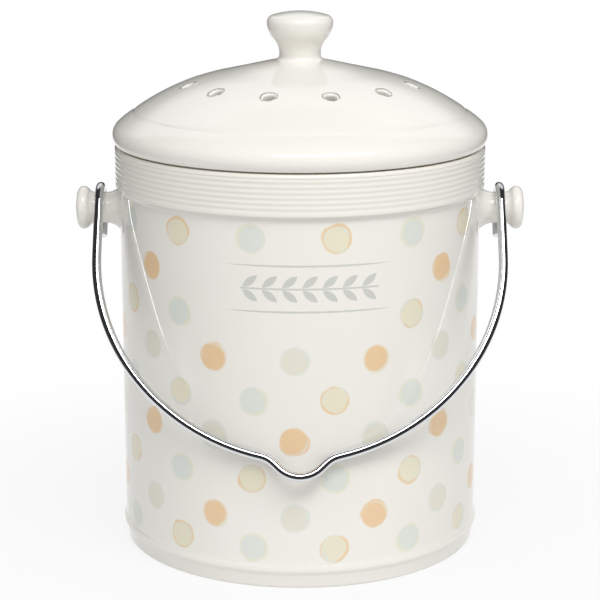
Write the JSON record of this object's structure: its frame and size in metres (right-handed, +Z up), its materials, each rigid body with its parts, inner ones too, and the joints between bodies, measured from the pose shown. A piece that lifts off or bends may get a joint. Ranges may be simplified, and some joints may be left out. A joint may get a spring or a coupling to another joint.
{
  "type": "kitchen compost bin",
  "caption": "Straight-sided glazed ceramic compost crock with a ribbed band, a vented domed lid over a carbon filter, and a bent wire bail that swings on side lugs.",
  "frame": {"origin": "centre of the foot ring, on the surface that the crock stands on", "axes": "+Z up along the crock's axis, the lugs along X, and the bail hangs in front, towards -Y"},
  "size_m": [0.1998, 0.1708, 0.2373],
  "materials": {
    "crock_glaze": "gloss cream glaze",
    "lid_glaze": "gloss cream glaze",
    "bail_chrome": "bright chrome plate",
    "filter_plastic": "moulded, satin",
    "carbon_felt": "carbon-loaded felt"
  },
  "bodies": {
    "crock": {"crock_body": "crock_glaze", "left_lug": "crock_glaze", "right_lug": "crock_glaze"},
    "bail": {"bail_handle": "bail_chrome"},
    "lid": {"lid_shell": "lid_glaze", "lid_knob": "lid_glaze", "filter_holder": "filter_plastic"},
    "cover": {"filter_cover": "filter_plastic"},
    "pad": {"charcoal_filter": "carbon_felt"}
  },
  "joints": [
    {"name": "bail_swing", "type": "hinge", "parent": "crock", "child": "bail", "pos_m": [0, 0, 0.15], "axis": [-1, 0, 0], "range_deg": [0, 276.4]},
    {"name": "lid_lift", "type": "slide", "parent": "crock", "child": "lid", "axis": [0, 0, 1], "range_m": [0, 0.15]},
    {"name": "cover_pull", "type": "slide", "parent": "lid", "child": "cover", "axis": [0, 0, -1], "range_m": [0, 0.06]},
    {"name": "pad_lift", "type": "slide", "parent": "cover", "child": "pad", "axis": [0, 0, 1], "range_m": [0, 0.025]}
  ],
  "couplings": [
    {"joint": "pad_lift", "follows": "cover_pull", "ratio": 0.41667}
  ]
}
